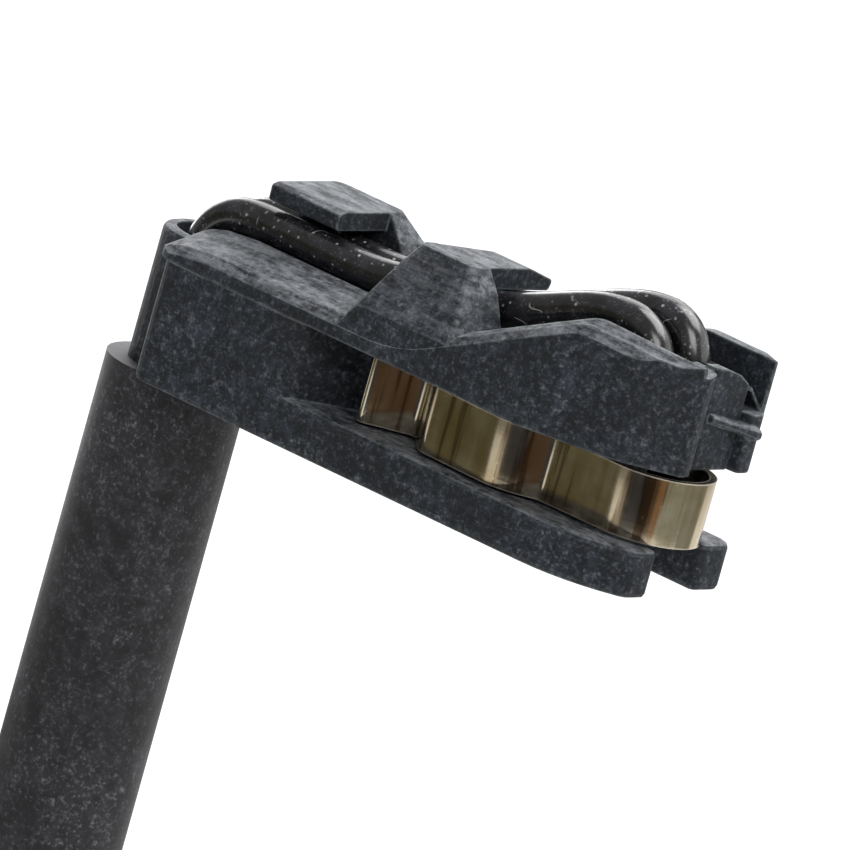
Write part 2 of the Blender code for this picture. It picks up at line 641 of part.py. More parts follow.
def wire_route():
    """One lead from the hose, over the block and into the tip, and back beside itself."""
    side = WIRE_PITCH / 2
    turn = SPIGOT_X + WIRE_BEND
    rise = [(SPIGOT_X, -SPIGOT_DEPTH * 0.9), (SPIGOT_X, 0.0)]
    bend = [(turn - WIRE_BEND * math.cos(a), RUN_HEIGHT - WIRE_BEND * (1 - math.sin(a)))
            for a in np.radians([0, 22, 45, 68, 90])]
    length, climb = POCKET_RIGHT - NEAR_HOOK_RIGHT, ARCH_HEIGHT - RUN_HEIGHT
    under_hook = NEAR_HOOK_TOP - NEAR_NOSE_THICKNESS - WIRE_DIAMETER / 2 - CLEARANCE / 2
    run = [(BLOCK_RIGHT, RUN_HEIGHT), (NEAR_HOOK_LEFT, RUN_HEIGHT + climb * 0.1), (NEAR_HOOK_RIGHT, under_hook)]
    arch = ((0.22, 0.5, 0.0), (0.45, 0.85, 0.2), (0.62, 1.0, 0.7), (0.75, 0.95, 1.0), (0.83, 0.68, 1.0),
            (0.86, 0.25, 0.9))
    low = POCKET_FLOOR + CLEARANCE + WIRE_DIAMETER / 2
    legs = []
    for rear in (0.0, 1.0):
        leg = rise + bend + run
        for t, height, share in arch:
            leg.append((NEAR_HOOK_RIGHT + length * t + rear * share * REAR_RISE,
                        RUN_HEIGHT + climb * height + rear * share * REAR_RISE))
        legs.append(leg)
    middle = (legs[0][-1][0] + legs[1][-1][0]) / 2
    loop = [(middle, -side * math.cos(a), low + side - side * math.sin(a))
            for a in np.radians([0, 45, 90, 135, 180])]
    return [(x, -side, z) for x, z in legs[0]] + loop + [(x, side, z) for x, z in reversed(legs[1])]


def sensing_wire(material):
    route = smooth_route(wire_route(), WIRE_DIAMETER * 0.55, WIRE_DIAMETER * 0.6)
    return tube("sensing_wire", route, WIRE_DIAMETER, 4, material)


def turned(name, profile, centre, steps, along):
    """A ring of the profile's (radius, height) points about a line through the centre."""
    sections = []
    for k in range(steps):
        a = 2 * math.pi * k / steps
        ring = []
        for radius, height in profile:
            x, over = centre[0] + radius * math.cos(a), radius * math.sin(a)
            if along == "Z":
                ring.append((x, centre[1] + over, centre[2] + height))
            else:
                ring.append((x, centre[1] + height, centre[2] + over))
        sections.append(ring)
    count = len(profile)
    vertices = [p for section in sections for p in section]
    faces = []
    for row in range(steps):
        after = (row + 1) % steps
        for i in range(count):
            j = (i + 1) % count
            faces.append((row * count + i, row * count + j, after * count + j, after * count + i))
    return solid(name, vertices, faces)


def hose_top(material):
    """The hose's end, which grips the spigot."""
    outer, inner = HOSE_DIAMETER / 2, HOSE_BORE / 2
    profile = [(inner, 0.0), (outer - FOOT_EDGE, 0.0), (outer, -FOOT_EDGE), (outer, -HOSE_TOP_LENGTH),
               (inner, -HOSE_TOP_LENGTH)]
    return dress(turned("hose_top", profile, (SPIGOT_X, 0.0, 0.0), 28, "Z"), "hose_top", material)


def hose_run(material):
    start = -HOSE_TOP_LENGTH - CLEARANCE
    end = -COIL_DROP + COIL_CLEAR
    route = [(SPIGOT_X, 0.0, start), (SPIGOT_X, 0.0, start * 0.6 + end * 0.4), (SPIGOT_X, 0.0, end)]
    return tube("hose_run", smooth_route(route, HOSE_DIAMETER * 2.2, 0.0), HOSE_DIAMETER, 4, material)


def hose_tail(material):
    start = -COIL_DROP - COIL_CLEAR
    route = [(SPIGOT_X, tail_y, start), (SPIGOT_X, tail_y, -TAIL_END)]
    return tube("hose_tail", smooth_route(route, HOSE_DIAMETER * 2.2, 0.0), HOSE_DIAMETER, 4, material)


def coil_profile(spare=0.0):
    """The coil's section: its turns side by side, with round ends."""
    half = HOSE_DIAMETER / 2 + spare
    low, high = 0.0, COIL_TURNS * coil_pitch
    profile = []
    for end, first in ((low, 180), (high, 0)):
        for a in np.radians([first + 45 * k for k in range(5)]):
            profile.append((COIL_RADIUS + half * math.cos(a), end + half * math.sin(a)))
    return profile


def hose_coil(material):
    centre = (coil_x, 0.0, -COIL_DROP)
    return dress(turned("hose_coil", coil_profile(), centre, 48, "Y"), "hose_coil", material)


def coil_tie(material):
    """A strap round the coil's section, at its left side, with its square head outside."""
    inner, outer = coil_profile(CLEARANCE), coil_profile(CLEARANCE + TIE_THICKNESS)
    middle = (coil_x, 0.0, -COIL_DROP)
    half = TIE_WIDTH / 2
    sections = []
    count = len(inner)
    for i in range(count):
        (ri, hi), (ro, ho) = inner[i], outer[i]
        sections.append([(middle[0] - ri, hi, middle[2] - half), (middle[0] - ro, ho, middle[2] - half),
                         (middle[0] - ro, ho, middle[2] + half), (middle[0] - ri, hi, middle[2] + half)])
    vertices = [p for section in sections for p in section]
    faces = []
    for row in range(count):
        after = (row + 1) % count
        for i in range(4):
            j = (i + 1) % 4
            faces.append((row * 4 + i, row * 4 + j, after * 4 + j, after * 4 + i))
    strap = solid("strap", vertices, faces)
    reach = COIL_RADIUS + HOSE_DIAMETER / 2 + CLEARANCE + TIE_THICKNESS / 2
    y = coil_pitch * COIL_TURNS / 2
    head = box("head", (middle[0] - reach - TIE_HEAD_DEPTH, middle[0] - reach),
               (y - TIE_HEAD / 2, y + TIE_HEAD / 2), (middle[2] - TIE_HEAD / 2, middle[2] + TIE_HEAD / 2))
    return dress(join(strap, soften(head, SMALL_EDGE)), "coil_tie", material)


# The connector at the hose's far end

connector_top = -TAIL_END - CLEARANCE
housing_top = connector_top - BOOT_LENGTH - CLEARANCE
housing_low = housing_top - HOUSING_LENGTH
lock_high = housing_top - LOCK_DROP


def around(width, depth, corner):
    """A rounded rectangle about the connector's axis."""
    w, d = width / 2, depth / 2
    return rounded([(SPIGOT_X - w, tail_y - d), (SPIGOT_X + w, tail_y - d), (SPIGOT_X + w, tail_y + d),
                    (SPIGOT_X - w, tail_y + d)], corner)


def connector_boot(material):
    """A rubber boot with a bellows of three rings, from the hose's size to the housing's."""
    hose = HOSE_DIAMETER / 2
    steps = 15
    half_w, half_d = HOUSING_WIDTH / 2 - SHELL_WALL, HOUSING_DEPTH / 2 - SHELL_WALL * 0.6
    sections = []
    for k in range(steps):
        t = k / (steps - 1)
        blend = min(1.0, max(0.0, (t - 0.45) / 0.45)) ** 1.5
        ring = BOOT_WALL + BOOT_RING * math.cos(6 * math.pi * min(t, 0.6) / 0.6)
        w = (hose + ring) * (1 - blend) + half_w * blend
        d = (hose + ring) * (1 - blend) + half_d * blend
        z = connector_top - BOOT_LENGTH * t
        sections.append([(SPIGOT_X + w * math.cos(a), tail_y + d * math.sin(a), z)
                         for a in np.linspace(0, 2 * math.pi, 24, endpoint=False)])
    return dress(loft("boot", sections), "connector_boot", material)


def connector_housing(material):
    plan = around(HOUSING_WIDTH, HOUSING_DEPTH, HOUSING_CORNER)
    shell = soften(prism("shell", plan, housing_low, housing_top), SMALL_EDGE)
    rim = housing_low + MOUTH_DEPTH
    plan = around(HOUSING_WIDTH + 2 * COLLAR_PROUD, HOUSING_DEPTH + 2 * COLLAR_PROUD, HOUSING_CORNER + COLLAR_PROUD)
    collar = soften(prism("collar", plan, rim, rim + COLLAR_LENGTH), SMALL_EDGE)
    join(shell, collar)
    plan = around(HOUSING_WIDTH - 2 * SHELL_WALL, HOUSING_DEPTH - 2 * SHELL_WALL, HOUSING_CORNER - SHELL_WALL * 0.6)
    mouth = prism("mouth", plan, housing_low - SINK, rim)
    front = tail_y - HOUSING_DEPTH / 2
    lug_outline = [(front + SINK, housing_low + LUG_START), (front - LUG_PROUD, housing_low + LUG_STEP),
                   (front - LUG_PROUD, housing_low + LUG_END), (front + SINK, housing_low + LUG_END)]
    lug = prism("lug", lug_outline, SPIGOT_X - LUG_WIDTH / 2, SPIGOT_X + LUG_WIDTH / 2, along="X")
    rails = []
    for side in (-1, 1):
        x = SPIGOT_X + side * RAIL_SPACING / 2
        rails.append(box("rail", (x - RAIL_WIDTH / 2, x + RAIL_WIDTH / 2), (front - RAIL_PROUD, front + SINK),
                         (housing_low + RAIL_START, rim + SINK)))
    join(shell, lug, *rails)
    cut(shell, mouth)
    lock_seat = box("lock_seat", (SPIGOT_X - LOCK_WIDTH / 2 - CLEARANCE, SPIGOT_X + LOCK_WIDTH / 2 + CLEARANCE),
                    (front - SINK, front + LOCK_THICKNESS + CLEARANCE),
                    (lock_high - LOCK_HEIGHT - CLEARANCE, lock_high + CLEARANCE))
    cut(shell, lock_seat)
    for side in (-1, 1):
        x = SPIGOT_X + side * TERMINAL_PITCH / 2
        slot = box("terminal_seat", (x - TERMINAL_WIDTH / 2 - CLEARANCE, x + TERMINAL_WIDTH / 2 + CLEARANCE),
                   (tail_y - TERMINAL_THICKNESS / 2 - CLEARANCE, tail_y + TERMINAL_THICKNESS / 2 + CLEARANCE),
                   (rim - SINK, rim + TERMINAL_ROOT + CLEARANCE))
        cut(shell, slot)
    return dress(shell, "connector_housing", material)


def connector_lock(material):
    """The coloured secondary lock, flush in its seat."""
    front = tail_y - HOUSING_DEPTH / 2
    plate = box("lock", (SPIGOT_X - LOCK_WIDTH / 2, SPIGOT_X + LOCK_WIDTH / 2),
                (front - LOCK_PROUD, front + LOCK_THICKNESS), (lock_high - LOCK_HEIGHT, lock_high))
    return dress(soften(plate, SMALL_EDGE / 2), "connector_lock", material)


def terminals(material):
    made = []
    for name, side in (("terminal_left", -1), ("terminal_right", 1)):
        x = SPIGOT_X + side * TERMINAL_PITCH / 2
        high = housing_low + MOUTH_DEPTH + TERMINAL_ROOT
        low = high - TERMINAL_ROOT - TERMINAL_LENGTH
        w, t = TERMINAL_WIDTH / 2, TERMINAL_THICKNESS / 2
        levels = [(low, 0.45, 0.4), (low + TERMINAL_POINT, 1.0, 1.0), (high, 1.0, 1.0)]
        sections = []
        for z, a, b in levels:
            sections.append([(x - w * a, tail_y - t * b, z), (x + w * a, tail_y - t * b, z),
                             (x + w * a, tail_y + t * b, z), (x - w * a, tail_y + t * b, z)])
        made.append(dress(loft(name, sections), name, material))
    return made


def main():
    clear_scene()
    nylon = finish("glass_nylon", (0.045, 0.05, 0.055), 0.6)
    steel = finish("spring_steel", (0.46, 0.42, 0.3), 0.28, 1.0)
    sheath = finish("wire_sheath", (0.015, 0.014, 0.014), 0.25)
    rubber = finish("hose_rubber", (0.05, 0.05, 0.055), 0.75)
    tie_nylon = finish("tie_nylon", (0.02, 0.02, 0.02), 0.5)
    housing = finish("connector_plastic", (0.03, 0.03, 0.033), 0.45)
    lock = finish("lock_plastic", (0.55, 0.16, 0.03), 0.45)
    tin = finish("tinned_brass", (0.62, 0.6, 0.55), 0.3, 1.0)
    carrier(nylon)
    spring(steel)
    sensing_wire(sheath)
    hose_top(rubber)
    hose_run(rubber)
    hose_coil(rubber)
    hose_tail(rubber)
    coil_tie(tie_nylon)
    connector_boot(rubber)
    connector_housing(housing)
    connector_lock(lock)
    terminals(tin)


main()
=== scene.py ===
import math

import bpy
from mathutils import Matrix, Vector


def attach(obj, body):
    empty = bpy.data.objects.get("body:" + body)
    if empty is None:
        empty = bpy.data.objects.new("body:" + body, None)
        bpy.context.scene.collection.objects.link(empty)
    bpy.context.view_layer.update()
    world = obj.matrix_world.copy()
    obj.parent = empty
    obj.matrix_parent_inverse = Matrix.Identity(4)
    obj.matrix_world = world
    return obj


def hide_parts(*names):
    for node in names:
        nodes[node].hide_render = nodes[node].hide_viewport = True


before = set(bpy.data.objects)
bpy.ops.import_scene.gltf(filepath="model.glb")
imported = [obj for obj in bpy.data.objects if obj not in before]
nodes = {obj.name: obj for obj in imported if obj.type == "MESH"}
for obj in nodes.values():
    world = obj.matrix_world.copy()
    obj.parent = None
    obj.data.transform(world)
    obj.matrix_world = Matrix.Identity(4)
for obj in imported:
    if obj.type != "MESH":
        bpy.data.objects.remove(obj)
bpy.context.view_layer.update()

mm = 0.001
# Shapes are laid out in mm from the head's corner; the object's origin is the middle of its slot
slotMiddle = Vector((16.5, 0.0, 3.825)) * mm


def headPoint(x, y, z):
    return Vector((x, y, z)) * mm - slotMiddle


# Azimuth 0 is in front, at -Y, and 90 at +X
def direction(azimuth, elevation):
    az, el = math.radians(azimuth), math.radians(elevation)
    return Vector((math.sin(az) * math.cos(el), -math.cos(az) * math.cos(el), math.sin(el)))


print("frame loaded")


# Camera, fitted to the photograph

cameraPlan = {"azimuth": 37.31, "elevation": 12.94, "roll": 15.64, "distance": 1124.0, "width": 36.57,
              "aim": (10.0, 0.0, 5.0), "right": 0.645, "up": -3.096, "sensor": 36.0, "near": 0.02, "far": 20.0}


def placeCamera(plan):
    az, roll = math.radians(plan["azimuth"]), math.radians(plan["roll"])
    back = direction(plan["azimuth"], plan["elevation"])
    level = Vector((math.cos(az), math.sin(az), 0.0))
    upright = back.cross(level)
    right = level * math.cos(roll) + upright * math.sin(roll)
    up = upright * math.cos(roll) - level * math.sin(roll)
    middle = headPoint(*plan["aim"]) + (right * plan["right"] + up * plan["up"]) * mm
    turn = Matrix((right, up, back)).transposed().to_4x4()
    bpy.ops.object.camera_add()
    camera = bpy.context.object
    camera.name = "photoCamera"
    camera.matrix_world = Matrix.Translation(middle + back * plan["distance"] * mm) @ turn
    camera.data.sensor_width = plan["sensor"]
    camera.data.lens = plan["sensor"] * plan["distance"] / plan["width"]
    camera.data.clip_start = plan["near"]
    camera.data.clip_end = plan["far"]
    camera.data.dof.use_dof = False
    bpy.context.scene.camera = camera


placeCamera(cameraPlan)
bpy.context.scene.view_settings.view_transform = "Standard"
print("camera placed")


# Shader wiring: arithmetic on a Wire adds its Math node

class Wire:
    def __init__(self, graph, socket):
        self.graph = graph
        self.socket = socket

    def math(self, kind, other, swap=False):
        pair = (other, self) if swap else (self, other)
        return self.graph.node("ShaderNodeMath", {"operation": kind}, {0: pair[0], 1: pair[1]})

    def __add__(self, other):
        return self.math("ADD", other)

    def __radd__(self, other):
        return self.math("ADD", other, True)

    def __sub__(self, other):
        return self.math("SUBTRACT", other)

    def __rsub__(self, other):
        return self.math("SUBTRACT", other, True)

    def __mul__(self, other):
        return self.math("MULTIPLY", other)

    def __rmul__(self, other):
        return self.math("MULTIPLY", other, True)


class Finish:
    def __init__(self, name, shine=0.5):
        self.material = bpy.data.materials.new(name)
        self.material.use_nodes = True
        self.tree = self.material.node_tree
        self.shader = self.tree.nodes["Principled BSDF"]
        self.shader.inputs["Specular IOR Level"].default_value = shine
        self.place = self.node("ShaderNodeTexCoord", {}, {}, "Object")

    def node(self, kind, settings, inputs, output=0):
        made = self.tree.nodes.new(kind)
        for key, value in settings.items():
            setattr(made, key, value)
        for key, value in inputs.items():
            if isinstance(value, Wire):
                self.tree.links.new(value.socket, made.inputs[key])
            else:
                made.inputs[key].default_value = value
        return Wire(self, made.outputs[output])

    def shifted(self, place, seed):
        return self.node("ShaderNodeVectorMath", {"operation": "ADD"}, {0: place, 1: (seed, seed * 0.7, -seed)})

    def noise(self, scale, detail=4.0, rough=0.55, place=None, seed=0.0):
        spot = place or self.place
        if seed:
            spot = self.shifted(spot, seed)
        return self.node("ShaderNodeTexNoise", {}, {"Vector": spot, "Scale": scale, "Detail": detail,
                                                    "Roughness": rough})

    def band(self, value, low, high):
        return self.node("ShaderNodeMapRange", {"interpolation_type": "SMOOTHSTEP"},
                         {"Value": value, "From Min": low, "From Max": high})

    # Thin lines where one noise crosses its middle, cut short by another
    def threads(self, scale, width, seed=0.0):
        bent = self.noise(scale, 1.0, 0.4, seed=seed)
        off = self.node("ShaderNodeMath", {"operation": "ABSOLUTE"}, {0: bent - 0.5})
        short = self.noise(scale * 1.7, 2.0, 0.5, seed=seed + 9.0)
        return (1 - self.band(off, width * 0.3, width)) * self.band(short, 0.6, 0.64)

    def facing(self, axis, low, high):
        normal = self.node("ShaderNodeNewGeometry", {}, {}, "Normal")
        split = self.node("ShaderNodeSeparateXYZ", {}, {"Vector": normal}, axis)
        return self.band(split, low, high)

    # Round dots in a share of the Voronoi cells
    def specks(self, scale, size, share=0.5, seed=0.0):
        cells = {"Vector": self.shifted(self.place, seed), "Scale": scale, "Randomness": 1.0}
        near = self.node("ShaderNodeTexVoronoi", {"feature": "F1"}, cells, "Distance")
        tint = self.node("ShaderNodeTexVoronoi", {"feature": "F1"}, cells, "Color")
        pick = self.node("ShaderNodeSeparateColor", {}, {"Color": tint}, "Red")
        keep = self.band(pick, 1.0 - share, 1.0 - share * 0.6)
        return (1 - self.band(near, size * 0.35, size)) * keep

    def mix(self, factor, first, second):
        def tone(value):
            return (*value, 1.0) if isinstance(value, tuple) and len(value) == 3 else value
        return self.node("ShaderNodeMix", {"data_type": "RGBA"},
                         {0: factor, 6: tone(first), 7: tone(second)}, 2)

    # Where the rounded normal leaves the true one, which is at the edges
    def edges(self, radius, low, high):
        soft = self.rounded(radius)
        hard = self.node("ShaderNodeNewGeometry", {}, {}, "Normal")
        match = self.node("ShaderNodeVectorMath", {"operation": "DOT_PRODUCT"}, {0: soft, 1: hard}, "Value")
        return self.band(1 - match, low, high)

    def bump(self, height, strength, distance, normal=None):
        inputs = {"Height": height, "Strength": strength, "Distance": distance}
        if normal:
            inputs["Normal"] = normal
        return self.node("ShaderNodeBump", {}, inputs)

    def rounded(self, radius):
        return self.node("ShaderNodeBevel", {"samples": 6}, {"Radius": radius})

    def feed(self, **links):
        names = {"color": "Base Color", "roughness": "Roughness", "metallic": "Metallic", "normal": "Normal"}
        for key, value in links.items():
            name = names[key]
            if isinstance(value, Wire):
                self.tree.links.new(value.socket, self.shader.inputs[name])
            else:
                self.shader.inputs[name].default_value = (*value, 1.0) if isinstance(value, tuple) else value
        return self.material


carrierLook = {"base": (0.006, 0.008, 0.011), "pale": (0.025, 0.032, 0.043), "dust": (0.33, 0.345, 0.37),
               "edge": (0.23, 0.26, 0.26), "edgeWidth": 0.2 * mm, "cornerRound": 0.12 * mm,
               "grainDepth": 0.07 * mm, "cloudScale": 330.0, "scuffScale": 1500.0, "fineScale": 2400.0,
               "flakeScale": 3900.0, "grainScale": 7000.0}


def mouldedNylon(look):
    f = Finish("moulded_nylon", 0.3)
    cloudy = f.noise(look["cloudScale"], 6.0, 0.62)
    fine = f.noise(look["fineScale"], 5.0, 0.7, seed=3.0)
    grain = f.noise(look["grainScale"], 3.0, 0.6, seed=5.0)
    drawn = f.node("ShaderNodeMapping", {}, {"Vector": f.place, "Scale": (0.35, 1.0, 2.2),
                                             "Rotation": (0.2, 0.1, 0.5)})
    scuff = f.noise(look["scuffScale"], 6.0, 0.72, place=drawn)
    # Upward faces take more dust and a broad pale wash: partly real dust, partly painted light falling on the
    # tops
    up = f.facing("Z", 0.25, 0.8)
    tone = f.mix(f.band(cloudy * 0.35 + fine * 0.65, 0.43, 0.66), look["base"], look["pale"])
    flakes = f.noise(look["flakeScale"], 4.0, 0.65, seed=7.0)
    dusty = f.band(grain * 0.75 + fine * 0.25, 0.5, 0.72) * 0.6 + f.band(flakes, 0.52, 0.74) * 0.85
    patches = f.band(scuff * 0.6 + cloudy * 0.4, 0.38, 0.66)
    tone = f.mix(dusty * (patches * 0.28 + up * 0.2 + 0.12), tone, look["dust"])
    # Painted top light, partly dust: a pale wash of the dust colour over upward faces
    tone = f.mix(up * f.band(scuff * 0.7 + fine * 0.3, 0.38, 0.64) * 0.5, tone, look["dust"])
    # Worn, paler edges, in patches
    paleEdge = f.edges(look["edgeWidth"], 0.012, 0.16) * f.band(fine * 0.5 + scuff * 0.5, 0.32, 0.6)
    tone = f.mix(paleEdge * 0.8, tone, look["edge"])
    height = grain * 0.5 + fine * 0.8 + cloudy * 0.5
    normal = f.bump(height, 0.5, look["grainDepth"], f.rounded(look["cornerRound"]))
    return f.feed(color=tone, roughness=0.55 + fine * 0.2 - paleEdge * 0.08, normal=normal)


hoseLook = {"base": (0.006, 0.0055, 0.007), "bloom": (0.02, 0.019, 0.024), "dust": (0.26, 0.25, 0.28),
            "grainDepth": 0.05 * mm, "cloudScale": 170.0, "softScale": 1400.0, "flakeScale": 3900.0,
            "fineScale": 5600.0}


def hoseRubber(look):
    f = Finish("hose_rubber", 0.4)
    cloudy = f.noise(look["cloudScale"], 5.0, 0.6, seed=1.0)
    soft = f.noise(look["softScale"], 5.0, 0.65, seed=6.0)
    fine = f.noise(look["fineScale"], 3.0, 0.6, seed=4.0)
    flakes = f.noise(look["flakeScale"], 4.0, 0.65, seed=7.0)
    tone = f.mix(f.band(cloudy * 0.35 + soft * 0.65, 0.38, 0.64), look["base"], look["bloom"])
    dusty = f.band(fine * 0.7 + soft * 0.3, 0.5, 0.7) * 0.45 + f.band(flakes, 0.56, 0.72) * 0.6
    tone = f.mix(dusty * (f.band(cloudy, 0.36, 0.62) * 0.5 + 0.2), tone, look["dust"])
    tone = f.mix(f.facing("Z", 0.5, 0.9) * 0.35, tone, look["dust"])
    normal = f.bump(soft * 0.6 + fine * 0.6, 0.4, look["grainDepth"])
    return f.feed(color=tone, roughness=0.48 + fine * 0.15, normal=normal)


# The rim colour is a painted highlight along the strip's edges
springLook = {"steel": (0.58, 0.52, 0.4), "straw": (0.42, 0.34, 0.21), "stain": (0.13, 0.08, 0.05),
              "rim": (0.9, 0.84, 0.74), "highlightWidth": 0.14 * mm, "spark": (0.7, 0.66, 0.55),
              "lineDepth": 0.02 * mm, "cloudScale": 420.0, "spotScale": 620.0, "heatScale": 1250.0,
              "pitScale": 4200.0, "lineScale": 9000.0}


def springSteel(look):
    f = Finish("spring_steel")
    drawn = f.node("ShaderNodeMapping", {}, {"Vector": f.place, "Scale": (0.05, 0.05, 1.0)})
    lines = f.noise(look["lineScale"], 3.0, 0.6, place=drawn)
    upright = f.node("ShaderNodeMapping", {}, {"Vector": f.place, "Scale": (1.0, 1.0, 0.06)})
    heat = f.noise(look["heatScale"], 3.0, 0.6, place=upright, seed=4.0)
    cloudy = f.noise(look["cloudScale"], 4.0, 0.6, seed=2.0)
    tone = f.mix(f.band(cloudy * 0.5 + heat * 0.5, 0.38, 0.6), look["steel"], look["straw"])
    tone = f.mix(f.band(heat, 0.55, 0.62) * 0.7, tone, look["stain"])
    tone = f.mix(f.specks(look["spotScale"], 0.3, 0.12, seed=6.0) * 0.8, tone, look["stain"])
    tone = f.mix(f.specks(look["pitScale"], 0.3, 0.12, seed=8.0) * 0.6, tone, look["spark"])
    # Painted highlight: the strip's edges get the bright rim colour and more roughness, so they show as a light
    # line
    paleEdge = f.edges(look["highlightWidth"], 0.01, 0.12)
    tone = f.mix(paleEdge * 0.85, tone, look["rim"])
    normal = f.bump(lines * 0.5 + cloudy * 0.5, 0.12, look["lineDepth"])
    return f.feed(color=tone, roughness=0.1 + lines * 0.1 + paleEdge * 0.35, metallic=1.0, normal=normal)


wireLook = {"base": (0.006, 0.006, 0.007), "haze": (0.022, 0.021, 0.026), "dust": (0.56, 0.56, 0.54),
            "skinDepth": 0.05 * mm, "hairScale": 420.0, "cloudScale": 700.0, "crumbScale": 1900.0,
            "lintScale": 3600.0, "fineScale": 4200.0, "gritScale": 6500.0}


def wireSheath(look):
    f = Finish("wire_sheath", 0.75)
    cloudy = f.noise(look["cloudScale"], 4.0, 0.6)
    fine = f.noise(look["fineScale"], 4.0, 0.6, seed=3.0)
    tone = f.mix(f.band(cloudy, 0.42, 0.66), look["base"], look["haze"])
    lint = f.specks(look["lintScale"], 0.32, 0.3, seed=1.0)
    dusty = lint * 0.5 + f.specks(look["crumbScale"], 0.18, 0.14, seed=5.0) * 0.8
    grit = f.band(f.noise(look["gritScale"], 3.0, 0.65, seed=9.0), 0.56, 0.7)
    grit = grit * (f.band(cloudy, 0.42, 0.62) * 0.16 + 0.03)
    hair = f.threads(look["hairScale"], 0.006, seed=2.0)
    tone = f.mix(grit, tone, look["dust"])
    tone = f.mix(dusty * 0.85 + hair * 0.6, tone, look["dust"])
    normal = f.bump(cloudy * 0.8 + fine * 0.2, 0.3, look["skinDepth"])
    return f.feed(color=tone, roughness=0.16 + fine * 0.12 + dusty * 0.3, normal=normal)


plasticLook = {"edgeWidth": 0.25 * mm, "cornerRound": 0.15 * mm, "grainDepth": 0.04 * mm, "cloudScale": 300.0,
               "fineScale": 3600.0}


def plainPlastic(name, base, pale, rough, look=plasticLook):
    f = Finish(name)
    cloudy = f.noise(look["cloudScale"], 5.0, 0.6)
    fine = f.noise(look["fineScale"], 4.0, 0.6, seed=2.0)
    tone = f.mix(f.band(cloudy * 0.5 + fine * 0.5, 0.4, 0.66), base, pale)
    paleEdge = f.edges(look["edgeWidth"], 0.012, 0.2)
    tone = f.mix(paleEdge * 0.35, tone, tuple(min(1.0, c * 2.2 + 0.02) for c in base))
    return f.feed(color=tone, roughness=rough + fine * 0.12,
                  normal=f.bump(fine, 0.3, look["grainDepth"], f.rounded(look["cornerRound"])))


brassLook = {"bright": (0.66, 0.64, 0.58), "dull": (0.5, 0.47, 0.4), "cornerRound": 0.05 * mm,
             "grainDepth": 0.01 * mm, "cloudScale": 800.0, "fineScale": 5000.0}


def tinnedBrass(look):
    f = Finish("tinned_brass")
    cloudy = f.noise(look["cloudScale"], 4.0, 0.6)
    tone = f.mix(f.band(cloudy, 0.35, 0.65), look["bright"], look["dull"])
    normal = f.bump(f.noise(look["fineScale"]), 0.2, look["grainDepth"], f.rounded(look["cornerRound"]))
    return f.feed(color=tone, roughness=0.25 + cloudy * 0.15, metallic=1.0, normal=normal)


looks = {
    "nylon": mouldedNylon(carrierLook),
    "rubber": hoseRubber(hoseLook),
    "steel": springSteel(springLook),
    "sheath": wireSheath(wireLook),
    "tie": plainPlastic("tie_nylon", (0.018, 0.018, 0.019), (0.035, 0.035, 0.036), 0.42),
    "plug": plainPlastic("connector_plastic", (0.028, 0.028, 0.03), (0.05, 0.05, 0.052), 0.42),
    "lock": plainPlastic("lock_plastic", (0.5, 0.14, 0.025), (0.6, 0.2, 0.04), 0.4),
    "tin": tinnedBrass(brassLook),
}
print("finishes mixed")


# Tools for the pieces

def deselect():
    bpy.ops.object.select_all(action="DESELECT")


def paint(piece, look):
    piece.data.materials.clear()
    piece.data.materials.append(looks[look])


smoothAngle = math.radians(50)


def polyCurve(name, points, ring=False):
    line = bpy.data.curves.new(name, "CURVE")
    line.dimensions = "3D"
    spline = line.splines.new("POLY")
    spline.points.add(len(points) - 1)
    spline.use_cyclic_u = ring
    for point, place in zip(spline.points, points):
        point.co = (*place, 1.0)
    piece = bpy.data.objects.new(name, line)
    bpy.context.collection.objects.link(piece)
    deselect()
    piece.select_set(True)
    bpy.context.view_layer.objects.active = piece
    return piece


def tubeAlong(name, points, diameter, resolution):
    piece = polyCurve(name, points)
    piece.data.bevel_depth = diameter * mm / 2
    piece.data.bevel_resolution = resolution
    piece.data.use_fill_caps = True
    bpy.ops.object.convert(target="MESH")
    return piece


def applyModifier(piece, kind, settings):
    bpy.ops.object.modifier_add(type=kind)
    modifier = piece.modifiers[-1]
    for key, value in settings.items():
        setattr(modifier, key, value)
    bpy.ops.object.modifier_apply(modifier=modifier.name)


# A strip on edge: the path is drawn up to its height, given its thickness and rounded
def ribbonAlong(name, path, low, height, thickness, corner, ring):
    strip = polyCurve(name, [headPoint(x, y, low) for x, y in path], ring)
    bpy.ops.object.convert(target="MESH")
    bpy.ops.object.mode_set(mode="EDIT")
    bpy.ops.mesh.select_mode(type="EDGE")
    bpy.ops.mesh.select_all(action="SELECT")
    bpy.ops.mesh.extrude_region_move(TRANSFORM_OT_translate={"value": (0, 0, height * mm)})
    bpy.ops.mesh.select_all(action="SELECT")
    bpy.ops.mesh.normals_make_consistent(inside=False)
    bpy.ops.object.mode_set(mode="OBJECT")
    applyModifier(strip, "SOLIDIFY", {"thickness": thickness * mm, "offset": 0.0})
    applyModifier(strip, "BEVEL", {"width": corner * mm, "segments": 3, "angle_limit": math.radians(60)})
    bpy.ops.object.shade_smooth_by_angle(angle=smoothAngle)
    return strip


# Hose: straight down, two turns, straight down again

hosePlan = {"x": -1.93, "diameter": 6.5, "bore": 5.0, "boreDepth": 7.0, "lip": 0.18, "lipRise": 0.12,
            "coilRadius": 39.0, "turns": 2, "drop": 62.0, "end": 93.0, "straight": 26, "perTurn": 44,
            "tail": 12, "facets": 14}


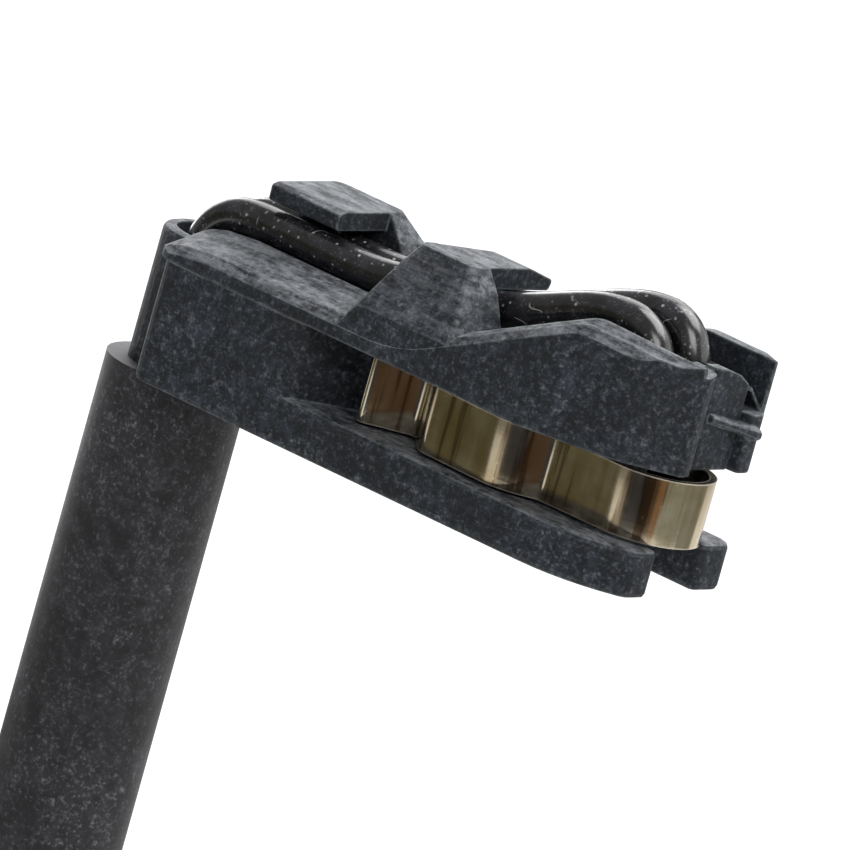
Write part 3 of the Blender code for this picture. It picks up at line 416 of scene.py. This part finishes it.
def hoseRoute(plan):
    x, pitch = plan["x"], plan["diameter"]
    route = [(x, 0.0, -plan["drop"] * i / plan["straight"]) for i in range(plan["straight"])]
    count = plan["turns"] * plan["perTurn"]
    for i in range(count):
        turn = 2 * math.pi * i / plan["perTurn"]
        route.append((x - plan["coilRadius"] * (1 - math.cos(turn)), pitch * i / plan["perTurn"],
                      -plan["drop"] - plan["coilRadius"] * math.sin(turn)))
    low = plan["end"] - plan["drop"]
    for i in range(plan["tail"] + 1):
        route.append((x, pitch * plan["turns"], -plan["drop"] - low * i / plan["tail"]))
    return [headPoint(*p) for p in route]


def pickFaces(piece, test):
    bpy.ops.object.mode_set(mode="EDIT")
    bpy.ops.mesh.select_mode(type="FACE")
    bpy.ops.mesh.select_all(action="DESELECT")
    bpy.ops.object.mode_set(mode="OBJECT")
    for face in piece.data.polygons:
        face.select = test(face)
    bpy.ops.object.mode_set(mode="EDIT")


def makeHose(plan):
    route = hoseRoute(plan)
    hose = tubeAlong("rubberHose", route, plan["diameter"], plan["facets"])
    bpy.ops.object.mode_set(mode="EDIT")
    bpy.ops.mesh.select_all(action="SELECT")
    bpy.ops.mesh.remove_doubles(threshold=1e-6)
    bpy.ops.mesh.normals_make_consistent(inside=False)
    bpy.ops.object.mode_set(mode="OBJECT")
    rim, wall = route[0].z, (plan["diameter"] - plan["bore"]) / 2
    pickFaces(hose, lambda face: len(face.vertices) > 8 and abs(face.center.z - rim) < 0.1 * mm)
    bpy.ops.mesh.inset(thickness=plan["lip"] * mm)
    bpy.ops.transform.translate(value=(0, 0, plan["lipRise"] * mm))
    bpy.ops.mesh.inset(thickness=(wall - plan["lip"] * 2) * mm)
    bpy.ops.mesh.inset(thickness=plan["lip"] * mm)
    bpy.ops.transform.translate(value=(0, 0, -plan["lipRise"] * mm))
    bpy.ops.mesh.extrude_region_move(TRANSFORM_OT_translate={"value": (0, 0, -plan["boreDepth"] * mm)})
    bpy.ops.object.mode_set(mode="OBJECT")
    bpy.ops.object.shade_smooth_by_angle(angle=smoothAngle)
    paint(hose, "rubber")
    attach(hose, "root")
    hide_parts("hose_top", "hose_run", "hose_coil", "hose_tail")


# Leads: one wire, out to the tip and back beside itself

leadPlan = {"diameter": 1.6, "pitch": 1.7, "x": -1.93, "deep": -5.4, "run": 7.95, "rest": 7.78, "bend": 2.3,
            "block": 7.7, "hookLeft": 11.1, "hookRight": 14.35, "underHook": 8.57, "end": 25.35, "arch": 10.9,
            "rearRise": 0.45, "low": 7.7, "ease": 0.96, "spacing": 0.3, "facets": 7, "firstClimb": 0.1,
            "shape": [(0.22, 0.5, 0.0), (0.45, 0.85, 0.2), (0.62, 1.0, 0.7), (0.75, 0.95, 1.0),
                      (0.83, 0.68, 1.0), (0.86, 0.25, 0.9)]}


def leadRoute(plan):
    side, turn = plan["pitch"] / 2, plan["x"] + plan["bend"]
    climb, length = plan["arch"] - plan["run"], plan["end"] - plan["hookRight"]
    shared = [(plan["x"], plan["deep"]), (plan["x"], 0.0)]
    for angle in (0, 22, 45, 68, 90):
        a = math.radians(angle)
        shared.append((turn - plan["bend"] * math.cos(a), plan["rest"] - plan["bend"] * (1 - math.sin(a))))
    shared += [(plan["block"], plan["rest"]), (plan["hookLeft"], plan["run"] + climb * plan["firstClimb"]),
               (plan["hookRight"], plan["underHook"])]
    legs = []
    for rear in (0.0, 1.0):
        leg = list(shared)
        for t, height, share in plan["shape"]:
            more = rear * share * plan["rearRise"]
            leg.append((plan["hookRight"] + length * t + more, plan["run"] + climb * height + more))
        legs.append(leg)
    middle = (legs[0][-1][0] + legs[1][-1][0]) / 2
    route = [Vector((x, -side, z)) for x, z in legs[0]]
    for angle in (0, 45, 90, 135, 180):
        a = math.radians(angle)
        route.append(Vector((middle, -side * math.cos(a), plan["low"] + side - side * math.sin(a))))
    return route + [Vector((x, side, z)) for x, z in reversed(legs[1])]


# Even steps along a route, each the mean of the stretch around it
def easedRoute(route, ease, spacing):
    along = [0.0]
    for a, b in zip(route, route[1:]):
        along.append(along[-1] + (b - a).length)
    total = along[-1]

    def at(s):
        s = min(max(s, 0.0), total)
        i = max(k for k in range(len(route) - 1) if along[k] <= s)
        return route[i].lerp(route[i + 1], (s - along[i]) / (along[i + 1] - along[i]))

    count = round(total / spacing)
    eased = []
    for k in range(count + 1):
        s = total * k / count
        reach = min(ease, s, total - s)
        spots = [at(s + reach * i / 8) for i in range(-8, 9)]
        eased.append(sum(spots, Vector()) / len(spots))
    return eased


def makeLeads(plan):
    route = easedRoute(leadRoute(plan), plan["ease"], plan["spacing"])
    leads = tubeAlong("sensingLeads", [headPoint(*p) for p in route], plan["diameter"], plan["facets"])
    bpy.ops.object.shade_smooth_by_angle(angle=smoothAngle)
    paint(leads, "sheath")
    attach(leads, "root")
    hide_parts("sensing_wire")


makeLeads(leadPlan)
print("leads laid")


# Spring: a strip with one leg on each side and a round end

springPlan = {"corners": [(10.92, 3.3), (11.04, 3.58), (13.0, 1.74), (14.8, 3.65), (19.3, 3.86), (20.8, 2.6),
                          (24.4, 2.5)],
              "bends": [0.0, 0.14, 0.55, 0.8, 2.6, 0.6, 0.0], "thickness": 0.34, "edge": 0.13, "low": 2.3,
              "high": 5.25, "steps": 14, "bowSteps": 48}


def bentPath(corners, bends, steps):
    path = [corners[0]]
    for before, corner, after, radius in zip(corners, corners[1:], corners[2:], bends[1:]):
        here = Vector(corner)
        back, ahead = (Vector(before) - here).normalized(), (Vector(after) - here).normalized()
        half = back.angle(ahead) / 2
        middle = here + (back + ahead).normalized() * radius / math.sin(half)
        first = here + back * radius / math.tan(half) - middle
        last = here + ahead * radius / math.tan(half) - middle
        sweep = math.copysign(math.pi - 2 * half, first.x * last.y - first.y * last.x)
        for k in range(steps + 1):
            a = sweep * k / steps
            path.append((middle.x + math.cos(a) * first.x - math.sin(a) * first.y,
                         middle.y + math.sin(a) * first.x + math.cos(a) * first.y))
    return path + [corners[-1]]


def makeSpring(plan):
    corners = [(x, -y) for x, y in plan["corners"]]
    leg = bentPath(corners, plan["bends"], plan["steps"])
    endX, out = plan["corners"][-1]
    angles = [math.pi * k / plan["bowSteps"] for k in range(1, plan["bowSteps"])]
    bow = [(endX + out * math.sin(a), -out * math.cos(a)) for a in angles]
    path = leg + bow + [(x, -y) for x, y in reversed(leg)]
    strip = ribbonAlong("springStrip", path, plan["low"], plan["high"] - plan["low"], plan["thickness"],
                        plan["edge"], False)
    paint(strip, "steel")
    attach(strip, "root")
    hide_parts("retaining_spring")


makeSpring(springPlan)
print("spring bent")


# Tie: a strap round the coil's two turns, with a square head and a cut end outside

tiePlan = {"x": -79.93, "z": -62.0, "hose": 3.25, "gap": 0.2, "turns": (3.25, 9.75), "thickness": 1.1,
           "width": 4.5, "strapEdge": 0.25, "steps": 24, "headDepth": 3.0, "head": 6.0, "headEdge": 0.5,
           "windowRim": 1.2, "windowDepth": 0.6, "tail": 2.4, "tailEdge": 0.2, "tailWidth": 4.23, "sunk": 0.2}


def block(centre, size, corner):
    deselect()
    bpy.ops.mesh.primitive_cube_add(size=1.0, location=headPoint(*centre), scale=[s * mm for s in size])
    piece = bpy.context.object
    bpy.ops.object.transform_apply(location=True, rotation=True, scale=True)
    bpy.ops.object.mode_set(mode="EDIT")
    bpy.ops.mesh.select_all(action="SELECT")
    bpy.ops.mesh.bevel(offset=corner * mm, segments=3, affect="EDGES")
    bpy.ops.object.mode_set(mode="OBJECT")
    return piece


def makeTie(plan):
    reach = plan["hose"] + plan["gap"] + plan["thickness"] / 2
    path = []
    for middle, first in zip(plan["turns"], (180, 0)):
        for k in range(plan["steps"] + 1):
            a = math.radians(first + 180 * k / plan["steps"])
            path.append((plan["x"] + reach * math.cos(a), middle + reach * math.sin(a)))
    strap = ribbonAlong("tieStrap", path, plan["z"] - plan["width"] / 2, plan["width"], plan["thickness"],
                        plan["strapEdge"], True)
    middle, outside = sum(plan["turns"]) / 2, plan["x"] - reach - plan["headDepth"] / 2
    head = block((outside, middle, plan["z"]), (plan["headDepth"], plan["head"], plan["head"]),
                 plan["headEdge"])
    face = min(v.co.x for v in head.data.vertices)
    pickFaces(head, lambda side: side.normal.x < -0.99 and abs(side.center.x - face) < 0.01 * mm)
    bpy.ops.mesh.inset(thickness=plan["windowRim"] * mm)
    bpy.ops.mesh.extrude_region_move(TRANSFORM_OT_translate={"value": (plan["windowDepth"] * mm, 0, 0)})
    bpy.ops.object.mode_set(mode="OBJECT")
    stub = block((outside, middle + (plan["head"] + plan["tail"]) / 2 - plan["sunk"], plan["z"]),
                 (plan["thickness"], plan["tail"] + plan["sunk"] * 2, plan["tailWidth"]), plan["tailEdge"])
    deselect()
    for piece in (stub, head, strap):
        piece.select_set(True)
    bpy.context.view_layer.objects.active = strap
    bpy.ops.object.join()
    bpy.ops.object.shade_smooth_by_angle(angle=math.radians(40))
    paint(strap, "tie")
    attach(strap, "root")
    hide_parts("coil_tie")
    return strap


tie = makeTie(tiePlan)
print("tie closed")
makeHose(hosePlan)
print("hose laid")


# Nodes shown as the solids they are

nodeLooks = {"sensor_carrier": "nylon",
             "connector_boot": "rubber", "connector_housing": "plug", "connector_lock": "lock",
             "terminal_left": "tin", "terminal_right": "tin"}
for name, look in nodeLooks.items():
    paint(nodes[name], look)
print("carried-over pieces painted")


# Floor, world, lamps, and the cards that only the metal sees

studioPlan = {"floor": -0.142, "size": 3.0, "paper": (0.85, 0.85, 0.85), "paperGlow": 0.6, "worldGlow": 0.32,
              "lamps": [("keySoftbox", 165, 62, 0.9, 0.8, 11.0), ("frontFill", 50, 40, 0.9, 0.5, 4.0),
                        ("rearStrip", -140, 35, 1.0, 0.7, 3.5), ("leftStrip", -118, 4, 0.8, 0.5, 3.0)],
              "cards": [("oliveCard", -44, 18, -0.2, 0.03, (0.13, 0.12, 0.075)),
                        ("greyCard", 16.5, 18.5, -0.2, 0.03, (0.05, 0.052, 0.062)),
                        ("umberCard", 44.5, 9.5, -0.2, 0.03, (0.085, 0.056, 0.036)),
                        ("brownCard", 60, 6, -0.2, 0.03, (0.3, 0.17, 0.09)),
                        ("paleCard", 91, 25, -0.2, 0.03, (0.36, 0.37, 0.33)),
                        ("mistCard", 136, 20, -0.2, 0.03, (0.3, 0.3, 0.26)),
                        ("backGlow", 143, 40, 0.035, 0.3, (1.5, 1.5, 1.5))],
              "cardAway": 0.3}


def paperWhite(plan):
    f = Finish("paper_white")
    f.feed(color=plan["paper"], roughness=0.9)
    seen = f.node("ShaderNodeLightPath", {}, {}, "Is Camera Ray")
    for ray in ("Is Glossy Ray", "Is Transmission Ray"):
        other = f.node("ShaderNodeLightPath", {}, {}, ray)
        seen = f.node("ShaderNodeMath", {"operation": "MAXIMUM"}, {0: seen, 1: other})
    glow = f.tree.nodes.new("ShaderNodeEmission")
    glow.inputs["Color"].default_value = (1.0, 1.0, 1.0, 1.0)
    glow.inputs["Strength"].default_value = 1.0
    blend = f.tree.nodes.new("ShaderNodeMixShader")
    f.tree.links.new((seen * plan["paperGlow"]).socket, blend.inputs[0])
    f.tree.links.new(f.shader.outputs[0], blend.inputs[1])
    f.tree.links.new(glow.outputs[0], blend.inputs[2])
    f.tree.links.new(blend.outputs[0], f.tree.nodes["Material Output"].inputs["Surface"])
    return f.material


def layFloor(plan):
    deselect()
    bpy.ops.mesh.primitive_plane_add(size=plan["size"], location=(0, 0, plan["floor"]))
    floor = bpy.context.object
    floor.name = "paleFloor"
    bpy.ops.object.mode_set(mode="EDIT")
    bpy.ops.mesh.subdivide(number_cuts=8)
    bpy.ops.object.mode_set(mode="OBJECT")
    floor.data.materials.append(paperWhite(plan))


def lightWorld(plan):
    world = bpy.data.worlds.new("softRoom")
    bpy.context.scene.world = world
    world.use_nodes = True
    tree = world.node_tree
    shade = tree.nodes["Background"]
    path = tree.nodes.new("ShaderNodeLightPath")
    bright = tree.nodes.new("ShaderNodeMix")
    bright.inputs[2].default_value = plan["worldGlow"]
    bright.inputs[3].default_value = 1.0
    tree.links.new(path.outputs["Is Camera Ray"], bright.inputs[0])
    tree.links.new(bright.outputs[0], shade.inputs["Strength"])
    shade.inputs["Color"].default_value = (1.0, 1.0, 1.0, 1.0)


# A lamp is (name, azimuth, elevation, distance, size, power)
def hangLamps(plan):
    for name, azimuth, elevation, away, size, power in plan["lamps"]:
        spot = direction(azimuth, elevation) * away
        bpy.ops.object.light_add(type="AREA", location=spot)
        lamp = bpy.context.object
        lamp.name = name
        lamp.data.size = size
        lamp.data.energy = power
        lamp.rotation_euler = (-spot).to_track_quat("-Z", "Y").to_euler()


# A card is (name, azimuth, half its angle, bottom, top, glow)
def hangCards(plan):
    for name, azimuth, half, low, high, tone in plan["cards"]:
        spot = direction(azimuth, 0.0) * plan["cardAway"] + Vector((0.0, 0.0, (low + high) / 2))
        deselect()
        bpy.ops.mesh.primitive_plane_add(size=1.0, location=spot,
                                         rotation=(math.radians(90), 0.0, math.radians(azimuth)))
        card = bpy.context.object
        card.name = name
        card.scale = (2 * plan["cardAway"] * math.tan(math.radians(half)), high - low, 1.0)
        f = Finish(name, 0.0)
        f.feed(color=(0.0, 0.0, 0.0), roughness=1.0)
        f.shader.inputs["Emission Color"].default_value = (*tone, 1.0)
        f.shader.inputs["Emission Strength"].default_value = 1.0
        card.data.materials.append(f.material)
        card.visible_camera = False
        card.visible_shadow = False
        card.visible_diffuse = False


layFloor(studioPlan)
hangCards(studioPlan)
lightWorld(studioPlan)
hangLamps(studioPlan)
print("studio lit")
